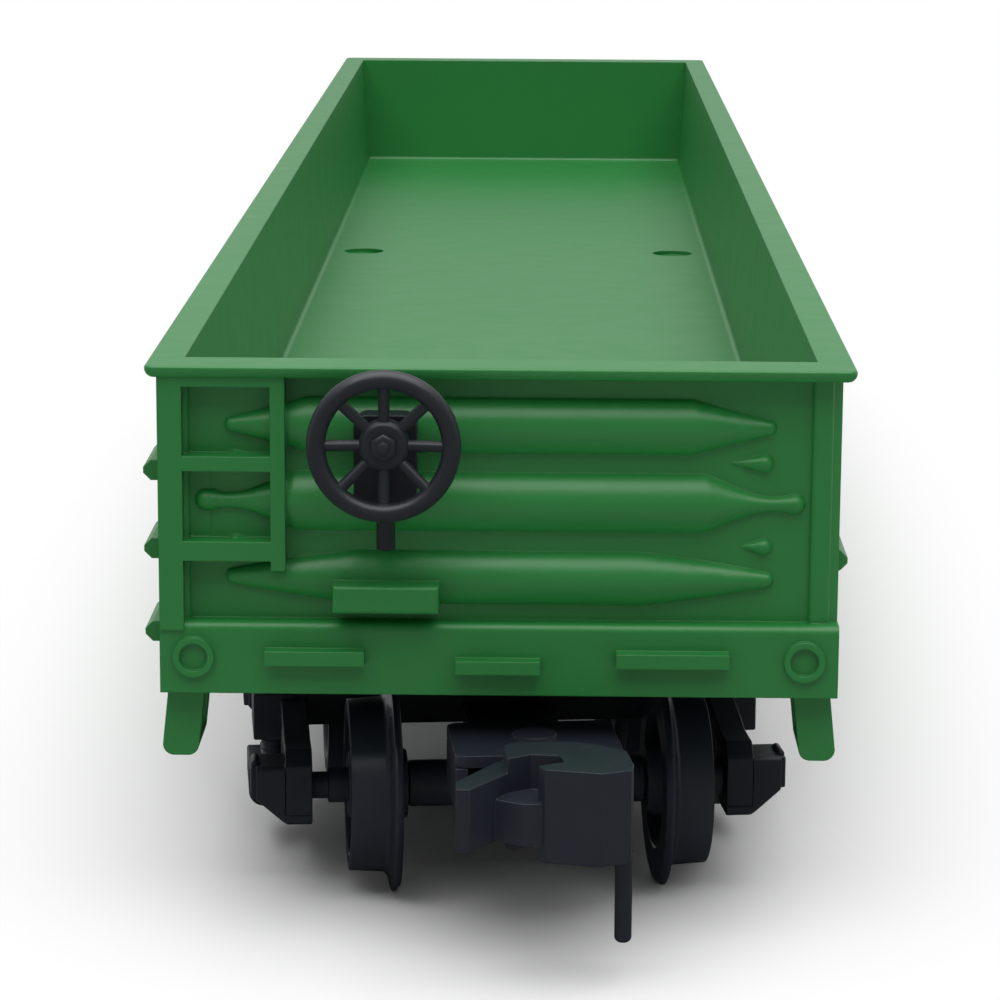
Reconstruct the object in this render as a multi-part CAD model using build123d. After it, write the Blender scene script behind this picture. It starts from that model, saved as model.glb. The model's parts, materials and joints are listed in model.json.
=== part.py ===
from build123d import *
import math
import os

# HO-scale (1:87) gondola car, one moulded tub on two talgo trucks, in millimetres.
# X is across the car, Y along it with the brake-wheel (B) end at -Y, and Z is up.
# Z = 0 is the surface that the wheel flanges stand on, under the middle of the car.

# ---------------------------------------------------------------- tub
BODY_WIDTH = 36.0           # over the side posts
PANEL_LENGTH = 185.8        # over the flat end panels, behind the ribs
POST_PROUD = 0.5            # side posts beyond the side sheets
CHORD_SIDE_PROUD = 0.6      # top chord beyond the side posts
CHORD_END_PROUD = 1.6       # top chord beyond the end panels
RIM_Z = 31.15               # top of the top chord
SIDE_HEIGHT = 17.7          # top of the top chord to the bottom of the side sill
CHORD_HEIGHT = 0.65
CHORD_TOP_ROUND = 0.14      # the chord is widest just under its top edge
CHORD_FOOT_ROUND = 0.48
CORNER_ROUND = 0.5          # corners of the chord seen from above
SIDE_CHORD = 1.9            # width of the chord along the sides, seen from above
END_CHORD = 2.9             # the same at the ends
LOAD_DEPTH = 10.2           # rim to load floor
LOAD_DRAFT = 3.9            # degrees, inner faces of the tub
FLOOR_FILLET = 0.35
FLOOR_THICKNESS = 1.2
SKIRT = 1.1                 # wall of the skirt under the floor
POST_FOOT = 2.4             # post width against the sheet
POST_FACE = 1.5             # post width at its face
POST_COUNT = 14             # on each side
SILL_BAND = 1.3             # height of the flange along the bottom of the side
BAND_PROUD = 0.25
LAP = 0.2                   # how far features sink into the wall they sit on
EJECTOR_DIAMETER = 3.3
EJECTOR_X = 13.1
EJECTOR_Y = 22.0            # ejector marks in the floor, on the A side of the middle
EJECTOR_RELIEF = 0.35

# ends
RIB_PROUD = 1.05            # ribs, ladders and end sill beyond the end panel
END_POST = 1.1              # width of the corner post on the end
END_POST_PROUD = 0.35
END_POST_ROUND = 0.25
RIB_DROPS = (3.3, 7.4, 11.5)      # rib centres below the rim
RIB_END_HALF = 0.42         # a rib's least half height, and its height there beyond the panel
RIB_END_PROUD = 0.42
# Half length and half height of each rib where its taper starts, on the way, and at its end.
RIB_STATIONS = (
    ((10.1, 1.5), (11.8, 1.02), (14.1, RIB_END_HALF)),
    ((10.8, 1.6), (12.0, 1.1), (13.3, 0.58), (15.55, 0.56)),
    ((7.6, 1.45), (10.6, 1.05), (14.1, RIB_END_HALF)),
)
DART_DROPS = (5.2, 9.7)     # small ribs between the main ones, from tip to blunt end
DART_TIPS = (12.0, 12.6)
DART_END = 14.4
DART_RADII = (0.5, 0.45)
END_SILL_HEIGHT = 3.9
END_SILL_ROUND = 0.45       # upper front edge of the end sill
POLING_RADIUS = 1.1
POLING_WALL = 0.35
POLING_PROUD = 0.3
POLING_INSET = 1.8          # pocket's centre inside the side posts
POLING_DROP = 15.7
PAD_PROUD = 0.8
PADS = ((-12.4, -7.1), (6.2, 12.2))   # limits across the car of the two casting pads
PAD_DROPS = (15.2, 16.0)
STRIKER = (-2.3, 2.2)
STRIKER_DROPS = (15.65, 16.4)

# ladder on the left of each end, and rungs round its corner
LADDER_INSET = 0.03         # outside of the outer rail inside the side posts
LADDER_WIDTH = 6.7
LADDER_PROUD = 0.15         # rails and rungs beyond the ribs
RAIL_OUTER = 1.29
RAIL_INNER = 0.78
RAIL_HEAD = 0.5             # strip that joins the rails under the chord
RAIL_END_DROP = 11.0        # foot of the inner rail below the rim
RUNG_DROPS = (5.25, 9.95)
RUNG_HEIGHTS = (0.8, 1.05)
SIDE_RUNG_DROPS = (6.0, 10.25, 14.8)
SIDE_RUNG_INSET = 0.8       # from the end panel to the near end of a side rung
SIDE_RUNG_LENGTH = 5.6
SIDE_RUNG_HEIGHT = 1.1
SIDE_RUNG_BEVEL = 0.4
SIDE_RUNG_PROUD = 0.95
GRAB_DROP = 10.6
GRAB_PROUD = 0.5
STEP_DROP = 3.8             # sill steps below the sill
STEP_WIDTH = 1.95
STEP_INSET = 0.35           # outside of a step at the sill, inside the side posts
STEP_LENGTH = 4.4
STEP_BAR = 0.85
STEP_FLARE = 0.45           # how far the foot of a step leans outward
STEP_ROOT = 0.4             # how far a step reaches up into the sill
STEP_FOOT_ROUND = 0.6
STEP_WINDOW_ROUND = 0.35

# ---------------------------------------------------------------- brake wheel
BRAKE_X = -5.95
BRAKE_DROP = 3.63           # wheel centre below the rim
BRAKE_DIAMETER = 8.0
BRAKE_RIM = 1.0             # section of the wheel's rim
BRAKE_SPOKES = 8
BRAKE_REACH = 4.3           # wheel plane in front of the end panel
BRAKE_SHAFT = 1.2           # shaft diameter
BRAKE_CLEARANCE = 0.06      # radial, shaft in housing
BRAKE_HUB = 2.6
BRAKE_HUB_LENGTH = 1.2
BRAKE_HUB_ROUND = 0.3
BRAKE_SPOKE = 0.6
BRAKE_DISH = 0.5            # hub behind the rim's plane
HOUSING_WIDTH = 3.3
HOUSING_DROPS = (2.3, 7.3)  # top and foot of the housing below the rim
HOUSING_DEPTH = 1.6
HOUSING_ROUND = 0.7
PAD_INSET = 0.3             # seat on the end inside the housing's outline
SHAFT_STOP = 0.5            # web left behind the shaft's bore
PEG_DIAMETER = 1.6
PEG_LENGTH = 1.4            # depth of the peg's socket
PEG_GAP = 0.1               # from the ends of peg and shaft to the ends of their bores
STAFF_DIAMETER = 1.0
STAFF_DROP = 9.6            # foot of the rod below the rim
BRAKE_STEP_WIDTH = 5.6
BRAKE_STEP_PROUD = 2.4
BRAKE_STEP_DROP = 11.5
BRAKE_STEP_HEIGHT = 1.5
BRAKE_STEP_ROUND = 0.25

# ---------------------------------------------------------------- underframe
WEIGHT_THICKNESS = 1.0
FRAME_PLATE = 1.0
FRAME_CLEARANCE = 0.15      # underframe and weight inside the skirt
CENTRE_SILL_WIDTH = 3.4
CENTRE_SILL_DEPTH = 3.2
BEARER_WIDTH = 1.4
BEARER_YS = (-45.0, -22.5, 0.0, 22.5, 45.0)
SCREW_Y = 56.0
SCREW_DIAMETER = 1.8
SCREW_HEAD = 3.4
SCREW_HEAD_HEIGHT = 0.9
SCREW_HEAD_ROUND = 0.3
SCREW_SLOT = (0.4, 0.4)     # width and depth
SCREW_GAP = 0.15            # radial, shank through the frame
SCREW_END_GAP = 0.1
SCREW_WELL = 3.8            # bore that a screw's head stands in
SCREW_WELL_WALL = 0.9
SCREW_BITE = 0.8            # how far a screw goes into the floor
BOSS_DIAMETER = 4.4
BOSS_GAP = 0.2              # radial, boss through the weight
WEIGHT_SIDE_GAP = 3.4       # from the weight to the skirt
WEIGHT_END_GAP = 7.8
BODY_BOLSTER_WIDTH = 6.0
BOLSTER_DROP = 4.0          # body bolster below the frame plate, at the middle
BOLSTER_TIP = 1.2           # and at its ends
BOSS_BASE = 5.0             # half length of the level part of its foot
BEARER_DROP = 2.6           # cross bearer below the frame plate, at the middle
BEARER_TIP = 0.8
BEARER_FLAT = 3.0           # half length of the level part of its foot
RESERVOIR_DIAMETER = 3.4
RESERVOIR_ROUND = 0.6
RESERVOIR_X = -8.5
RESERVOIR_YS = (-38.0, -29.0)
CYLINDER_DIAMETER = 3.0
CYLINDER_X = 7.5
CYLINDER_YS = (-37.0, -31.5)
CYLINDER_CAP = 0.6          # thickness of the cap on the brake cylinder
PUSH_DIAMETER = 0.8
VALVE_X = (7.6, 10.6)
VALVE_YS = (28.5, 31.2)
VALVE_HEIGHT = 2.2
VALVE_BEVEL = 0.4

# ---------------------------------------------------------------- trucks
TRUCK_INSET = 17.9          # truck's pivot from the end panel
TRUCK_TURN = 6.0            # degrees, B truck as it stands
WHEELBASE = 19.5
TREAD_DIAMETER = 9.8
FLANGE_DEPTH = 1.1
WHEEL_OUTER = 10.0          # wheel face from the car's centre line
WHEEL_WIDTH = 2.8
FLANGE_WIDTH = 0.65
FLANGE_BEVEL = 0.3
FLANGE_CREST = 0.15         # width of the flange's top
FLANGE_ROOT = 0.25
TREAD_CONE = 0.12           # fall of the tread to the wheel's face
HUB_PROUD = 0.5             # hub inside the wheel's inner face
HUB_RADII = (1.9, 2.2)      # at the inner end, and where the hub meets the plate
PLATE_RADII = (3.6, 3.9)    # edge of the plate and lip of the rim, inner side
PLATE_DEPTHS = ((0.5, 0.9), (0.7, 0.9))   # plate behind the inner and outer faces, hub and rim
FACE_HUB_RADII = (1.8, 2.1)
FACE_RIM_RADII = (3.7, 3.95)
AXLE_DIAMETER = 2.0
AXLE_WAIST = 2.6            # diameter of the axle between its wheels
AXLE_WAIST_GAP = 0.1        # from the waist to a wheel's hub
AXLE_END = 12.95            # half length over the axle's journals
AXLE_BEVEL = 0.2
JOURNAL_START = 11.1        # from the centre line, where the journals begin
JOURNAL_DIAMETER = 1.5
JOURNAL_CLEARANCE = 0.08    # radial, journal in its bearing
SIDE_PLAY = 0.42            # of an axle each way between its bearings
PUSHED_AXLE = 0.42          # the B truck's outer axle stands this far to the right
FRAME_INNER = 11.6          # inside of the side frames
FRAME_OUTER = 13.1
FRAME_LIP = 0.45            # raised edge round the side frame
FRAME_LIP_HEIGHT = 0.3
FRAME_BOTTOM = 2.6          # underside of the side frame below the springs
FRAME_TOP = 9.0
FRAME_BAR = 1.2             # upper and lower bars of the side frame, at the springs
FRAME_FLAT = 3.9            # half length of the level part of the lower bar
ARCH_FLAT = 4.6             # the same of the upper bar
PEDESTAL = 1.6              # half length of the frame round a journal box
PEDESTAL_RISE = 2.3         # its top above the axle
PEDESTAL_DROP = 1.3         # its foot below the axle
PEDESTAL_BEVEL = 0.8        # upper outer corner
PEDESTAL_WALL = 0.6         # frame beside a box, and above and below it
PEDESTAL_BAR = 0.95
WINDOW_ROUND = 0.35
BAY_HALF = 2.9              # half length of the opening for the springs
BAY_PILLAR = 2.0            # frame between that opening and the next
BOX_HALF = 1.5              # half length of a journal box
BOX_Z = (-1.9, 1.5)         # foot and top of a journal box, from the axle
BOX_OUTER = 14.7
BOX_ROUND = 0.3
BOX_BEVEL = (1.7, 1.5)      # lower outer corner, across and up
LID_Z = (-0.4, 1.4)         # of the box lid, from the axle
LID_HALF = 1.1
LID_PROUD = 0.3
SPRING_DIAMETER = 1.35      # springs beside each other under the bolster's end
SPRING_PITCH = 1.65
SPRING_ROW = 13.45          # from the centre line to the row of springs
BOLSTER_END = 14.65
BOLSTER_END_HALF = 2.5      # half length of the block over the springs, and of their seat
BOLSTER_FOOT = 6.6          # underside of that block
SEAT_END = 14.95            # outside of the seat under the springs
SEAT_TOP = 4.9
SEAT_ROUND = 0.9            # its lower outer edge
BOLSTER_WIDTH = 4.6
BOLSTER_Z = (7.4, 9.3)
CENTRE_PLATE_Z = 10.75      # truck centre plate against the underframe
CENTRE_PLATE_DIAMETER = 7.0
PIN_DIAMETER = 2.6
PIN_HEAD = 4.4
PIN_HEAD_HEIGHT = 0.9
PIN_CLEARANCE = 0.08        # radial, in the truck
PIN_END_GAP = 0.1           # from its head to the bolster
PIN_ROUND = 0.4
PIN_BEVEL = 0.3
PIN_GRIP = 3.2              # length of the pin in the underframe

# ---------------------------------------------------------------- couplers
TONGUE_WIDTH = 5.2
TONGUE_Z = (7.8, 8.4)
TONGUE_RIB = 0.2            # tongue thicker than the pocket's floor, above and below
POCKET_FRONT = 21.8         # from the truck's centre
POCKET_BACK = 15.2
POCKET_WALL = 0.7
POCKET_ROUND = 0.6
SHANK_Z = (8.5, 10.2)
SHANK_WIDTH = 3.0
SHANK_ROOT = 0.6            # how far the shank reaches into the head
POCKET_INNER = 7.6          # width inside the pocket
COUPLER_PIVOT = 18.4        # from the truck's centre
COUPLER_POST = 1.9
COUPLER_CLEARANCE = 0.08
COVER_THICKNESS = 0.7
COVER_GAP = 0.1
RIVET_DIAMETER = 2.4
RIVET_PROUD = 0.25
TAIL_DIAMETER = 4.2         # round tail of the coupler about its pivot
HEAD_BACK = 22.6
HEAD_FRONT = 28.7
HEAD_HALF = 5.0             # from the centre line to the side of the guide horn
HEAD_Z = (6.95, 11.95)
HORN_INSET = 0.8            # horn lower than the head, above and below
THROAT_DROP = 1.9           # web between horn and hook below the head's top
TRIP_DIAMETER = 0.9
TRIP_ROUND = 0.3
TRIP_X = 3.84
TRIP_Y = 26.6
TRIP_BOTTOM = 2.25
SPRING_X = 2.45
SPRING_LEAF = 0.22
SPRING_BEND = 0.6
SPRING_ARM = 3.4
SPRING_INSET = 0.2          # leaf shorter than the shank's height, above and below
# Coupler head seen from above, as shares of HEAD_HALF and of the head's length.
HORN_SHAPE = ((-0.30, 0.0), (-0.52, 0.15), (-0.98, 0.70), (-1.0, 0.93), (-0.86, 0.95),
              (-0.42, 0.49))
HOOK_SHAPE = ((-0.16, 0.38), (0.12, 0.44), (0.14, 0.62), (-0.14, 0.72), (-0.08, 0.85),
              (0.48, 1.0), (0.80, 0.92), (0.85, 0.72), (0.84, 0.33), (0.56, 0.11), (0.30, 0.0))
THROAT_SHAPE = ((-0.44, 0.30), (-0.60, 0.62), (-0.30, 0.80), (-0.08, 0.80), (0.20, 0.62),
                (0.20, 0.30))

SILL_Z = RIM_Z - SIDE_HEIGHT
FLOOR_Z = RIM_Z - LOAD_DEPTH
UNDER_FLOOR_Z = FLOOR_Z - FLOOR_THICKNESS
PANEL_Y = PANEL_LENGTH / 2
FACE_Y = PANEL_Y + RIB_PROUD
POST_X = BODY_WIDTH / 2
SHEET_X = POST_X - POST_PROUD
RIM_WIDTH = BODY_WIDTH + 2 * CHORD_SIDE_PROUD
RIM_LENGTH = PANEL_LENGTH + 2 * CHORD_END_PROUD
LADDER_OUTER = POST_X - LADDER_INSET
LADDER_INNER = LADDER_OUTER - LADDER_WIDTH
POLING_X = POST_X - POLING_INSET
STEP_OUTER = POST_X - STEP_INSET
CAVITY_X = SHEET_X - SKIRT
CAVITY_Y = PANEL_Y - SKIRT
WEIGHT_Z = UNDER_FLOOR_Z - WEIGHT_THICKNESS
PLATE_Z = WEIGHT_Z - FRAME_PLATE
FLANGE_DIAMETER = TREAD_DIAMETER + 2 * FLANGE_DEPTH
AXLE_Z = FLANGE_DIAMETER / 2
PIVOT_Y = PANEL_Y - TRUCK_INSET
PIN_TOP = CENTRE_PLATE_Z + PIN_GRIP
WEIGHT_WIDTH = 2 * (CAVITY_X - WEIGHT_SIDE_GAP)
WEIGHT_LENGTH = 2 * (CAVITY_Y - WEIGHT_END_GAP)
SCREW_TOP = UNDER_FLOOR_Z + SCREW_BITE
PAD_Y = -FACE_Y - 0.05     # seat of the brake housing, just clear of the ribs
FRAME_X = CAVITY_X - FRAME_CLEARANCE
FRAME_Y = CAVITY_Y - FRAME_CLEARANCE


def block(x, y, z):
    """A box from its low and high limits along X, Y and Z."""
    sizes = [high - low for low, high in (x, y, z)]
    middle = [(high + low) / 2 for low, high in (x, y, z)]
    return Pos(*middle) * Box(*sizes)


def plate(points, plane, thickness):
    """A closed outline on a plane, extruded along the plane's normal."""
    return extrude(plane * make_face(Polyline(*points, close=True)), thickness)


def rod(start, end, diameter):
    """A round bar between two points."""
    axis = Vector(*end) - Vector(*start)
    plane = Plane(origin=start, z_dir=axis)
    return extrude(plane * Circle(diameter / 2), axis.length)


def both_ends(shape):
    """A feature of the B end and its copy half a turn away."""
    return [shape, Rot(0, 0, 180) * shape]


# ---------------------------------------------------------------- tub

def tub_outside():
    """Sheets, ends and floor as one block, with the top chord round its rim."""
    sheets = block((-SHEET_X, SHEET_X), (-PANEL_Y, PANEL_Y), (SILL_Z, RIM_Z))
    chord = block(
        (-RIM_WIDTH / 2, RIM_WIDTH / 2),
        (-RIM_LENGTH / 2, RIM_LENGTH / 2),
        (RIM_Z - CHORD_HEIGHT, RIM_Z),
    )
    chord = fillet(chord.edges().filter_by(Axis.Z), CORNER_ROUND)
    chord = fillet(chord.faces().sort_by(Axis.Z)[-1].edges(), CHORD_TOP_ROUND)
    chord = fillet(chord.faces().sort_by(Axis.Z)[0].edges(), CHORD_FOOT_ROUND)
    return sheets + chord


def tub_hollows():
    """The drafted load space and the space under the floor."""
    load = extrude(
        Pos(0, 0, RIM_Z) * Rectangle(RIM_WIDTH - 2 * SIDE_CHORD, RIM_LENGTH - 2 * END_CHORD),
        -LOAD_DEPTH,
        taper=LOAD_DRAFT,
    )
    load = fillet(load.faces().sort_by(Axis.Z)[0].edges(), FLOOR_FILLET)
    under = extrude(
        Pos(0, 0, SILL_Z) * Rectangle(2 * CAVITY_X, 2 * CAVITY_Y),
        UNDER_FLOOR_Z - SILL_Z,
    )
    return [load, under]


def side_posts():
    """Hat-section posts and the flange along the bottom of each side."""
    run = PANEL_LENGTH - POST_FOOT
    top = RIM_Z - CHORD_HEIGHT
    shapes = []
    for side in (-1, 1):
        for index in range(POST_COUNT):
            y = -run / 2 + run * index / (POST_COUNT - 1)
            outline = [
                (side * (SHEET_X - LAP), y - POST_FOOT / 2),
                (side * SHEET_X, y - POST_FOOT / 2),
                (side * POST_X, y - POST_FACE / 2),
                (side * POST_X, y + POST_FACE / 2),
                (side * SHEET_X, y + POST_FOOT / 2),
                (side * (SHEET_X - LAP), y + POST_FOOT / 2),
            ]
            shapes.append(plate(outline, Plane.XY.offset(SILL_Z), top - SILL_Z))
        low, high = sorted((side * (SHEET_X - LAP), side * (SHEET_X + BAND_PROUD)))
        shapes.append(block((low, high), (-PANEL_Y, PANEL_Y), (SILL_Z, SILL_Z + SILL_BAND)))
    return shapes


def rib_circle(half, full):
    """Radius of a rib where it is this tall, and how far its axis lies behind the end panel."""
    share = (half - RIB_END_HALF) / (full - RIB_END_HALF)
    proud = RIB_END_PROUD + share * (RIB_PROUD - RIB_END_PROUD)
    radius = (half**2 + proud**2) / (2 * proud)
    return radius, radius - proud


def long_rib(drop, stations):
    """A rib of full section in the middle that tapers to a round end on both sides."""
    z = RIM_Z - drop
    start, full = stations[0]
    radius, sink = rib_circle(full, full)
    shapes = [rod((-start, sink - PANEL_Y, z), (start, sink - PANEL_Y, z), 2 * radius)]
    for side in (-1, 1):
        sections = []
        for x, half in stations:
            radius, sink = rib_circle(half, full)
            plane = Plane(origin=(side * x, sink - PANEL_Y, z), x_dir=(0, 1, 0), z_dir=(1, 0, 0))
            sections.append(plane * Circle(radius))
        shapes.append(loft(sections))
        shapes.append(Pos(side * x, sink - PANEL_Y, z) * Sphere(radius))
    return shapes


def dart(drop, tip, radius):
    """Small half cone on the end panel with its point inward and a round outer end."""
    back = DART_END - radius
    outline = [Line((tip, 0), (back, radius)),
               RadiusArc((back, radius), (DART_END, 0), radius), Line((DART_END, 0), (tip, 0))]
    plane = Plane(origin=(0, -PANEL_Y, RIM_Z - drop), x_dir=(1, 0, 0), z_dir=(0, 0, 1))
    cone = revolve(plane * make_face(outline), Axis(plane.origin, (1, 0, 0)))
    return [cone, mirror(cone, about=Plane.YZ)]


def end_ribs():
    """Three long tapered ribs, and the darts between their ends."""
    shapes = []
    for drop, stations in zip(RIB_DROPS, RIB_STATIONS):
        shapes += long_rib(drop, stations)
    for drop, tip, radius in zip(DART_DROPS, DART_TIPS, DART_RADII):
        shapes += dart(drop, tip, radius)
    return shapes


def end_frame():
    """Corner posts, end sill, poling pockets, striker and pads of one end."""
    sill = block((-POST_X, POST_X), (-FACE_Y, -PANEL_Y + LAP), (SILL_Z, SILL_Z + END_SILL_HEIGHT))
    top_edge = sill.faces().sort_by(Axis.Y)[0].edges().sort_by(Axis.Z)[-1]
    shapes = [fillet(top_edge, END_SILL_ROUND)]
    for side in (-1, 1):
        x = sorted((side * (SHEET_X - END_POST), side * SHEET_X))
        post = block(x, (-PANEL_Y - END_POST_PROUD, -PANEL_Y + LAP), (SILL_Z, RIM_Z - CHORD_HEIGHT))
        front = post.faces().sort_by(Axis.Y)[0]
        shapes.append(fillet(front.edges().filter_by(Axis.Z), END_POST_ROUND))
    for x, drops in [(pad, PAD_DROPS) for pad in PADS] + [(STRIKER, STRIKER_DROPS)]:
        shapes.append(block(x, (-FACE_Y - PAD_PROUD, -FACE_Y), (RIM_Z - drops[1], RIM_Z - drops[0])))
    for side in (-1, 1):
        plane = Plane(origin=(side * POLING_X, -FACE_Y, RIM_Z - POLING_DROP), z_dir=(0, -1, 0))
        ring = Circle(POLING_RADIUS) - Circle(POLING_RADIUS - POLING_WALL)
        shapes.append(extrude(plane * ring, POLING_PROUD))
    return shapes


def side_bar(side, drop, proud):
    """A grab iron on the side sheet next to the B end."""
    x = sorted((side * (SHEET_X - LAP), side * (POST_X + proud)))
    start = -PANEL_Y + SIDE_RUNG_INSET
    half = SIDE_RUNG_HEIGHT / 2
    bar = block(x, (start, start + SIDE_RUNG_LENGTH), (RIM_Z - drop - half, RIM_Z - drop + half))
    outer = bar.faces().sort_by(Axis.X)[0 if side < 0 else -1]
    return chamfer(outer.edges().filter_by(Axis.Y), SIDE_RUNG_BEVEL)


def ladder():
    """Ladder moulded on the end, its side rungs and the grab iron opposite."""
    face = (-FACE_Y - LADDER_PROUD, -PANEL_Y + LAP)
    top = RIM_Z - CHORD_HEIGHT
    foot = SILL_Z + END_SILL_HEIGHT - END_SILL_ROUND
    shapes = [
        block((-LADDER_OUTER, -LADDER_OUTER + RAIL_OUTER), face, (foot, top)),
        block((-LADDER_INNER - RAIL_INNER, -LADDER_INNER), face, (RIM_Z - RAIL_END_DROP, top)),
        block((-LADDER_OUTER, -LADDER_INNER), face, (top - RAIL_HEAD, top)),
    ]
    for drop, height in zip(RUNG_DROPS, RUNG_HEIGHTS):
        z = RIM_Z - drop
        shapes.append(block((-LADDER_OUTER, -LADDER_INNER), face, (z - height / 2, z + height / 2)))
    shapes += [side_bar(-1, drop, SIDE_RUNG_PROUD) for drop in SIDE_RUNG_DROPS]
    shapes.append(side_bar(1, GRAB_DROP, GRAB_PROUD))
    return shapes


def sill_step(side):
    """Stirrup step hung from the side sill next to the B end, its foot leaning out."""
    foot = SILL_Z - STEP_DROP
    top = SILL_Z + STEP_ROOT
    outline = [
        (side * (STEP_OUTER - STEP_WIDTH), top),
        (side * STEP_OUTER, top),
        (side * (STEP_OUTER + STEP_FLARE), foot),
        (side * (STEP_OUTER + STEP_FLARE - STEP_WIDTH), foot),
    ]
    profile = make_face(Polyline(*outline, close=True))
    profile = fillet(profile.vertices().group_by(Axis.Y)[0], STEP_FOOT_ROUND)
    near = -PANEL_Y + LAP
    step = extrude(Plane.XZ.offset(-near) * profile, -STEP_LENGTH)
    window = block((-RIM_WIDTH, RIM_WIDTH), (near + STEP_BAR, near + STEP_LENGTH - STEP_BAR),
                   (foot + STEP_BAR, SILL_Z))
    return step - fillet(window.edges().filter_by(Axis.X), STEP_WINDOW_ROUND)


def brake_mount():
    """Brake step and the flat pad with the socket for the brake housing."""
    half = BRAKE_STEP_WIDTH / 2
    top = RIM_Z - BRAKE_STEP_DROP
    step = block((BRAKE_X - half, BRAKE_X + half), (-PANEL_Y - BRAKE_STEP_PROUD, -PANEL_Y + LAP),
                 (top - BRAKE_STEP_HEIGHT, top))
    step = fillet(step.faces().sort_by(Axis.Y)[0].edges(), BRAKE_STEP_ROUND)
    half = HOUSING_WIDTH / 2 - PAD_INSET
    high, low = HOUSING_DROPS
    pad = block((BRAKE_X - half, BRAKE_X + half), (PAD_Y, -PANEL_Y + LAP),
                (RIM_Z - low + PAD_INSET, RIM_Z - high - PAD_INSET))
    return [step, pad]


def screw_bosses():
    """Bosses under the floor that the frame screws bite into."""
    bosses = []
    for y in (-SCREW_Y, SCREW_Y):
        bosses.append(rod((0, y, PLATE_Z + FRAME_PLATE), (0, y, UNDER_FLOOR_Z), BOSS_DIAMETER))
    return bosses


def make_body():
    """The whole green moulding."""
    features = side_posts() + brake_mount()
    for feature in end_ribs() + end_frame() + ladder():
        features += both_ends(feature)
    for side in (-1, 1):
        features += both_ends(sill_step(side))
    holes = []
    for y in (-SCREW_Y, SCREW_Y):
        holes.append(rod((0, y, PLATE_Z), (0, y, SCREW_TOP), SCREW_DIAMETER))
    z = RIM_Z - BRAKE_DROP
    holes.append(rod((BRAKE_X, PAD_Y - 1, z), (BRAKE_X, PAD_Y + PEG_LENGTH, z), PEG_DIAMETER))
    for x in (-EJECTOR_X, EJECTOR_X):
        holes.append(rod((x, EJECTOR_Y, FLOOR_Z - EJECTOR_RELIEF), (x, EJECTOR_Y, FLOOR_Z + 1),
                         EJECTOR_DIAMETER))
    tub = tub_outside() + features - tub_hollows()
    return tub + screw_bosses() - holes


# ---------------------------------------------------------------- underframe

def make_weight():
    """Steel ballast plate between the floor and the underframe."""
    sheet = block((-WEIGHT_WIDTH / 2, WEIGHT_WIDTH / 2), (-WEIGHT_LENGTH / 2, WEIGHT_LENGTH / 2),
                  (WEIGHT_Z, UNDER_FLOOR_Z))
    holes = [rod((0, y, WEIGHT_Z - 1), (0, y, UNDER_FLOOR_Z + 1), BOSS_DIAMETER + 2 * BOSS_GAP)
             for y in (-SCREW_Y, SCREW_Y)]
    return sheet - holes


def frame_bolster():
    """Tapered body bolster of the B end with the boss that carries the truck."""
    low = PLATE_Z - BOLSTER_DROP
    top, tip = PLATE_Z + LAP, PLATE_Z - BOLSTER_TIP
    outline = [(-FRAME_X, top), (FRAME_X, top), (FRAME_X, tip), (BOSS_BASE, low), (-BOSS_BASE, low),
               (-FRAME_X, tip)]
    y = -PIVOT_Y + BODY_BOLSTER_WIDTH / 2
    beam = plate(outline, Plane.XZ.offset(-y), BODY_BOLSTER_WIDTH)
    boss = rod((0, -PIVOT_Y, CENTRE_PLATE_Z), (0, -PIVOT_Y, PLATE_Z), CENTRE_PLATE_DIAMETER)
    return beam + boss


def cross_bearer(y):
    """A web across the car that gets shallower towards the side."""
    top, tip, low = PLATE_Z + LAP, PLATE_Z - BEARER_TIP, PLATE_Z - BEARER_DROP
    outline = [(-FRAME_X, top), (FRAME_X, top), (FRAME_X, tip), (BEARER_FLAT, low),
               (-BEARER_FLAT, low), (-FRAME_X, tip)]
    return plate(outline, Plane.XZ.offset(-y - BEARER_WIDTH / 2), BEARER_WIDTH)


def brake_gear():
    """Air reservoir, brake cylinder with its push rod, and control valve."""
    z = PLATE_Z - RESERVOIR_DIAMETER / 2 + LAP
    low, high = RESERVOIR_YS
    reservoir = rod((RESERVOIR_X, low, z), (RESERVOIR_X, high, z), RESERVOIR_DIAMETER)
    z = PLATE_Z - CYLINDER_DIAMETER / 2 + LAP
    low, high = CYLINDER_YS
    cap = high + CYLINDER_CAP
    cylinder = rod((CYLINDER_X, low, z), (CYLINDER_X, high, z), CYLINDER_DIAMETER)
    lid = rod((CYLINDER_X, high, z), (CYLINDER_X, cap, z), CYLINDER_DIAMETER + CYLINDER_CAP)
    push = rod((CYLINDER_X, cap, z), (CYLINDER_X, BEARER_YS[1], z), PUSH_DIAMETER)
    valve = block(VALVE_X, VALVE_YS, (PLATE_Z - VALVE_HEIGHT, PLATE_Z + LAP))
    return [fillet(reservoir.edges().filter_by(GeomType.CIRCLE), RESERVOIR_ROUND), cylinder, lid, push,
            chamfer(valve.edges().group_by(Axis.Z)[0], VALVE_BEVEL)]


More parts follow.
